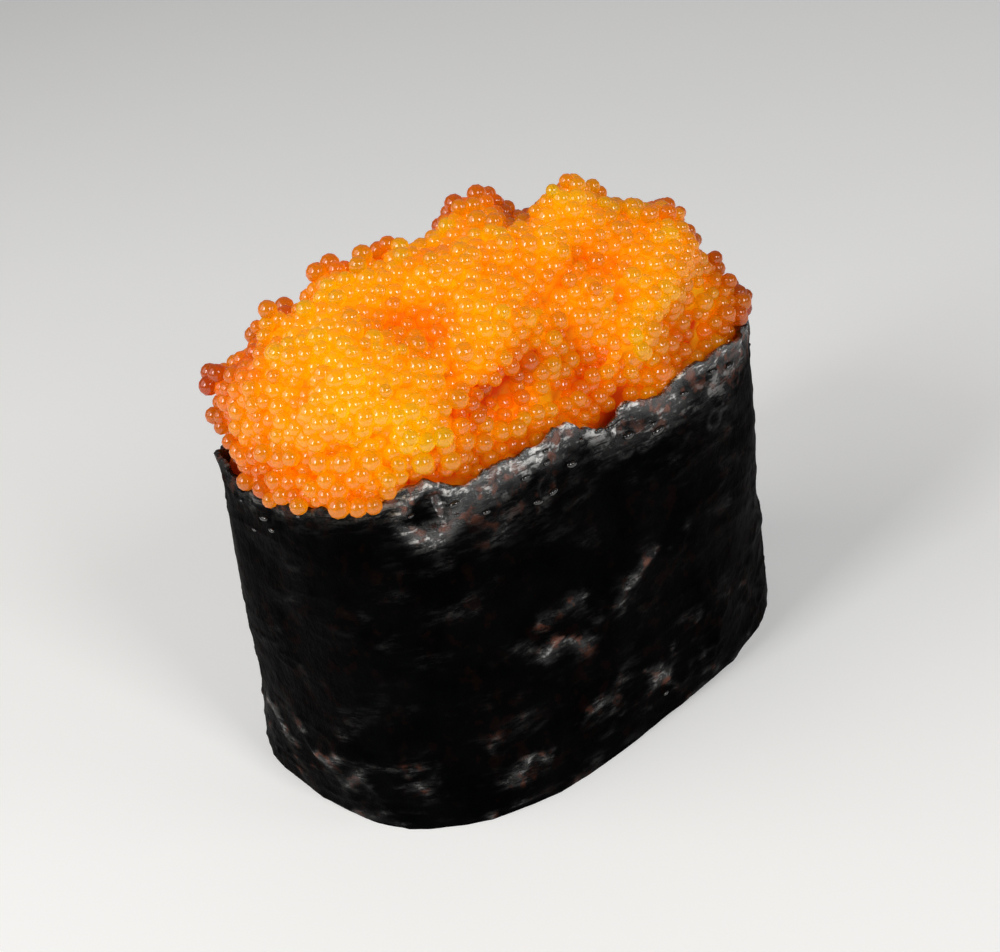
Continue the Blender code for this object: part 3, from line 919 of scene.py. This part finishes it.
def roe_depth_material():
    """The unbroken mass of eggs between the loose ones: orange, and painted deep red as shade in its hollows
    and along the rim.
    """
    material = bpy.data.materials.new("roe_depth")
    shader, add, feed = node_maker(material)
    place = add("ShaderNodeTexCoord").outputs["Object"]
    hollow = add("ShaderNodeAttribute", attribute_name="hollow").outputs["Fac"]
    # Painted shade: the mass goes from orange to deep red as the 'hollow' attribute rises, with some random
    # variety
    deep = add("ShaderNodeMath", {0: clouds(add, place, 400.0, 2.0), 1: 0.4, 2: hollow},
               operation="MULTIPLY_ADD").outputs[0]
    feed("Base Color", blend(add, spread(add, deep, 0.24, 1.0), MASS_ORANGE, MASS_SHADED_RED))
    eggs = add("ShaderNodeTexVoronoi", {"Vector": place, "Scale": 620.0}, feature="SMOOTH_F1")
    round_tops = add("ShaderNodeMath", {0: 1.0, 1: eggs.outputs["Distance"]}, operation="SUBTRACT")
    bump = add("ShaderNodeBump", {"Height": round_tops.outputs[0], "Strength": 0.5, "Distance": 0.7 * MM})
    feed("Normal", bump.outputs["Normal"])
    shader.inputs["Roughness"].default_value = 0.5
    shader.inputs["Specular IOR Level"].default_value = 0.04
    return material


skin_points, skin_normals, skin_faces, skin_edges, skin_hollow = heap_skin()
egg_centres, egg_radii, egg_hollow, egg_rise = place_eggs(skin_points, skin_faces, skin_edges, skin_hollow)
lay_tree, lay_sockets = egg_tree()
egg_shade_and_ripeness = shade_and_ripeness(egg_centres)
standing = smooth_step(egg_rise, -0.8 * MM, 0.1 * MM)
# An egg's tint: its painted shade and ripeness, deeper with painted shade in a hollow, deeper where it
# stands out alone, and a little random variety
egg_tint = egg_shade_and_ripeness + np.maximum(HOLLOW_TINT * egg_hollow, STANDING_TINT * standing)
egg_tint = np.clip(egg_tint + dice.normal(0, EGG_VARIETY, len(egg_centres)), 0, 1)
kind_of_egg = dice.integers(0, 2, len(egg_centres))
clear_egg = egg_material("clear_egg", YOUNG_AND_LIT_EGG, ORANGE_EGG, RIPE_AND_SHADED_EGG)
for kind, kind_name in enumerate(("roe_eggs_amber", "roe_eggs_deep")):
    chosen = kind_of_egg == kind
    egg_mesh = laid_pieces(kind_name, egg_centres[chosen],
                           (("egg_radius", "FLOAT", egg_radii[chosen]),
                            ("egg_tint", "FLOAT", egg_tint[chosen])),
                           lay_tree, {lay_sockets["Roundness"]: 2, lay_sockets["Unevenness"]: 0.05,
                                      lay_sockets["Seed"]: 3 + kind, lay_sockets["Finish"]: clear_egg})
    shown(kind_name, egg_mesh, "roe", *(["roe_heap"] if kind == 0 else []))

roe_mass = roe_core_mesh(skin_points, skin_normals, skin_faces, skin_edges, skin_hollow)
roe_core = shown("roe_core", roe_mass, "roe")
roe_core.data.materials.append(roe_depth_material())

# ---------------------------------------------------------------------------
# Moisture on the nori
# Drops of brine from the roe, up to two millimetres long, that have run down
# from the rim and dried onto the sheet. Each one is a small wet dome.
# ---------------------------------------------------------------------------

# Turn, height in mm and radius in mm of the drops that stand alone
DROPS = (
    (0.722, 29.9, 0.465), (0.768, 30.2, 0.495), (0.79, 29.0, 0.45), (0.8605, 31.0, 0.45),
    (0.685, 30.8, 0.315), (0.742, 31.6, 0.30), (0.812, 31.2, 0.33), (0.655, 29.6, 0.30),
    (0.7675, 2.9, 0.2625), (0.16, 30.6, 0.45), (0.23, 30.9, 0.375), (0.395, 30.2, 0.4125),
    (0.965, 30.4, 0.4125),
)
FINE_DROPS = 50
DROP_RISE = 0.8  # height of a drop over its radius
BRINE_DARK, BRINE_BROWN = (0.002, 0.002, 0.002, 1), (0.012, 0.010, 0.009, 1)


def drop_frames(turns, heights):
    """Places on the band's outer face and the axes of a drop lying there."""
    spots, axes = [], []
    tree = surface_tree(nori_sheet.data)
    for turn, height in zip(turns, heights):
        guess = wall_point(np.array([turn]), np.array([height / BAND_HEIGHT]), np.array([1.5 * MM]),
                           np.array([height]))[0]
        spot, way, _, _ = tree.find_nearest(Vector(guess))
        spots.append(spot)
        axes.append(way.to_track_quat("Z", "Y").to_matrix())
    return spots, axes


def drops_mesh():
    """All the drops as one mesh: domes, each closed underneath by its buried lower half."""
    turns = np.array([d[0] for d in DROPS])
    heights = np.array([d[1] for d in DROPS]) * MM
    sizes = np.array([d[2] for d in DROPS]) * MM
    turns = np.append(turns, dice.random(FINE_DROPS))
    heights = np.append(heights, BAND_HEIGHT - 0.8 * MM - 4.5 * MM * dice.random(FINE_DROPS) ** 1.5)
    sizes = np.append(sizes, (0.16 + 0.22 * dice.random(FINE_DROPS)) * MM)
    shape = bmesh.new()
    for spot, axes, size in zip(*drop_frames(turns, heights), sizes):
        made = bmesh.ops.create_icosphere(shape, subdivisions=2, radius=size)
        longer = 1.3 + 0.6 * dice.random()
        lean = Matrix.Rotation(dice.random() * 0.6 - 0.3, 3, "Z")
        for vert in made["verts"]:
            x, y, z = vert.co
            vert.co = axes @ (lean @ Vector((x * longer, y * 0.8, z * DROP_RISE))) + spot
    mesh = bpy.data.meshes.new("moisture_drops")
    shape.to_mesh(mesh)
    shape.free()
    mesh.shade_smooth()
    return mesh


def drop_material():
    """Brine over black: dark, with a bright wet skin."""
    material = bpy.data.materials.new("brine")
    shader, add, feed = node_maker(material)
    place = add("ShaderNodeTexCoord").outputs["Object"]
    feed("Base Color", blend(add, clouds(add, place, 900.0, 2.0), BRINE_DARK, BRINE_BROWN))
    shader.inputs["Roughness"].default_value = 0.10
    shader.inputs["IOR"].default_value = 1.75
    return material


moisture_drops = shown("moisture_drops", drops_mesh(), "nori")
moisture_drops.data.materials.append(drop_material())

# ---------------------------------------------------------------------------
# Rice
# Boiled short-grain rice, lightly vinegared, pressed by hand into a block that
# fills the band. Only its flat underside shows, grain by grain.
# ---------------------------------------------------------------------------

GRAIN_LENGTH, GRAIN_WIDTH = 5.2 * MM, 2.5 * MM
GRAIN_STEP = 2.9 * MM
GRAIN_LAYERS = 2
LAYER_RISE = 1.7 * MM
RICE_TOP = 20.6 * MM
GRAIN_INSET = 1.0 * MM  # from the outside of the band to the outermost grains
BLOCK_INSET = 1.6 * MM
PRESSED_FLAT = 0.05 * MM  # height of the flattened undersides of the grains
BLOCK_START = 2.2 * MM  # where the sides of the solid block begin, among the grains
RICE_GREY, RICE_WHITE = (0.70, 0.66, 0.57, 1), (0.86, 0.84, 0.78, 1)


def inside_plan(spots, inset):
    """Which level spots are inside the foot of the band by at least the inset."""
    half_length, half_width, squareness, widening = FOOT_PLAN
    across = (half_width - inset) * (1 + widening * spots[:, 0] / half_length)
    reach = np.abs(spots[:, 0] / (half_length - inset)) ** squareness
    return reach + np.abs(spots[:, 1] / across) ** squareness < 1


def grain_places():
    """Where each grain lies and how it is turned, layer over layer."""
    spots, turned = [], []
    for layer in range(GRAIN_LAYERS):
        along = np.arange(-30 * MM, 30 * MM, GRAIN_STEP) + layer * GRAIN_STEP / 2
        x, y = np.meshgrid(along, np.arange(-20 * MM, 20 * MM, GRAIN_STEP) + layer * GRAIN_STEP / 2)
        level = np.stack([x.ravel(), y.ravel()], axis=1) + dice.normal(0, 0.45 * MM, (x.size, 2))
        level = level[inside_plan(level, GRAIN_INSET + 0.42 * GRAIN_LENGTH)]
        height = GRAIN_WIDTH * 0.46 + layer * LAYER_RISE + dice.random(len(level)) * 0.25 * MM
        spots.append(np.column_stack([level, height]))
        lean = np.column_stack([dice.normal(0, 0.14, len(level)), dice.normal(0, 0.14, len(level)),
                                dice.random(len(level)) * np.pi])
        turned.append(lean)
    return np.concatenate(spots), np.concatenate(turned)


def grain_tree():
    """Geometry Nodes: one grain on every point, turned as the point says."""
    tree, sockets = laying_tree("lay_grains", (("Grain Length", "Float"), ("Grain Width", "Float")))
    add = adder(tree)
    given = add("NodeGroupInput").outputs
    ball = add("GeometryNodeMeshIcoSphere", {"Radius": 0.5, "Subdivisions": 2})
    shape = add("ShaderNodeCombineXYZ", {"X": given["Grain Length"], "Y": given["Grain Width"],
                                         "Z": given["Grain Width"]})
    grain = add("GeometryNodeTransform", {"Geometry": ball.outputs["Mesh"], "Scale": shape.outputs[0]})
    turned = add("GeometryNodeInputNamedAttribute", {"Name": "turned"}, data_type="FLOAT_VECTOR")
    turn = add("FunctionNodeEulerToRotation", {"Euler": turned.outputs["Attribute"]})
    size = add("FunctionNodeRandomValue", {"Min": (0.9, 0.9, 0.85), "Max": (1.08, 1.06, 0.95),
                                           "Seed": given["Seed"]}, data_type="FLOAT_VECTOR")
    lay_and_dress(add, given, grain.outputs[0], turn.outputs[0], size.outputs[0])
    return tree, sockets


def rice_material():
    """Cooked rice: off-white and a little glossy, each grain paler or greyer than the next."""
    material = bpy.data.materials.new("cooked_rice")
    shader, add, feed = node_maker(material)
    place = add("ShaderNodeTexCoord").outputs["Object"]
    feed("Base Color", blend(add, clouds(add, place, 260.0, 3.0), RICE_GREY, RICE_WHITE))
    shader.inputs["Roughness"].default_value = 0.32
    shader.inputs["Subsurface Weight"].default_value = 0.3
    shader.inputs["Subsurface Radius"].default_value = (1.0, 0.8, 0.6)
    shader.inputs["Subsurface Scale"].default_value = 0.6 * MM
    return material


def rice_grains_mesh(finish):
    """The loose grains, pressed flat where the block rests."""
    spots, turned = grain_places()
    tree, sockets = grain_tree()
    mesh = laid_pieces("rice_grains", spots, (("turned", "FLOAT_VECTOR", turned),), tree,
                       {sockets["Grain Length"]: GRAIN_LENGTH, sockets["Grain Width"]: GRAIN_WIDTH,
                        sockets["Seed"]: 11, sockets["Finish"]: finish})
    for vert in mesh.vertices:
        vert.co.z = max(vert.co.z, PRESSED_FLAT)
    return mesh


def rice_block_mesh():
    """The block over the grains: a closed drum that follows the inside of the band."""
    turns = np.linspace(0, 1, 160, endpoint=False)
    levels = np.linspace(BLOCK_START, RICE_TOP, 7)
    rings = [wall_point(turns, np.full_like(turns, z / BAND_HEIGHT), np.full_like(turns, -BLOCK_INSET),
                        np.full_like(turns, z)) for z in levels]
    points = np.concatenate(rings)
    count, faces = len(turns), []
    for row in range(len(levels) - 1):
        for i in range(count):
            j = (i + 1) % count
            faces.append((row * count + i, row * count + j, (row + 1) * count + j, (row + 1) * count + i))
    for row, middle_height in ((0, levels[0] - 0.9 * MM), (len(levels) - 1, levels[-1])):
        points = np.concatenate([points, [(0, 0, middle_height)]])
        for i in range(count):
            ring = (row * count + i, row * count + (i + 1) % count)
            faces.append((*(ring if row else ring[::-1]), len(points) - 1))
    mesh = bpy.data.meshes.new("rice_block")
    mesh.from_pydata(points.tolist(), [], faces)
    mesh.shade_smooth()
    mesh.set_sharp_from_angle(angle=math.radians(50))
    return mesh


cooked_rice = rice_material()
shown("rice_grains", rice_grains_mesh(cooked_rice), "rice", "rice_core")
rice_block = shown("rice_block", rice_block_mesh(), "rice")
rice_block.data.materials.append(cooked_rice)
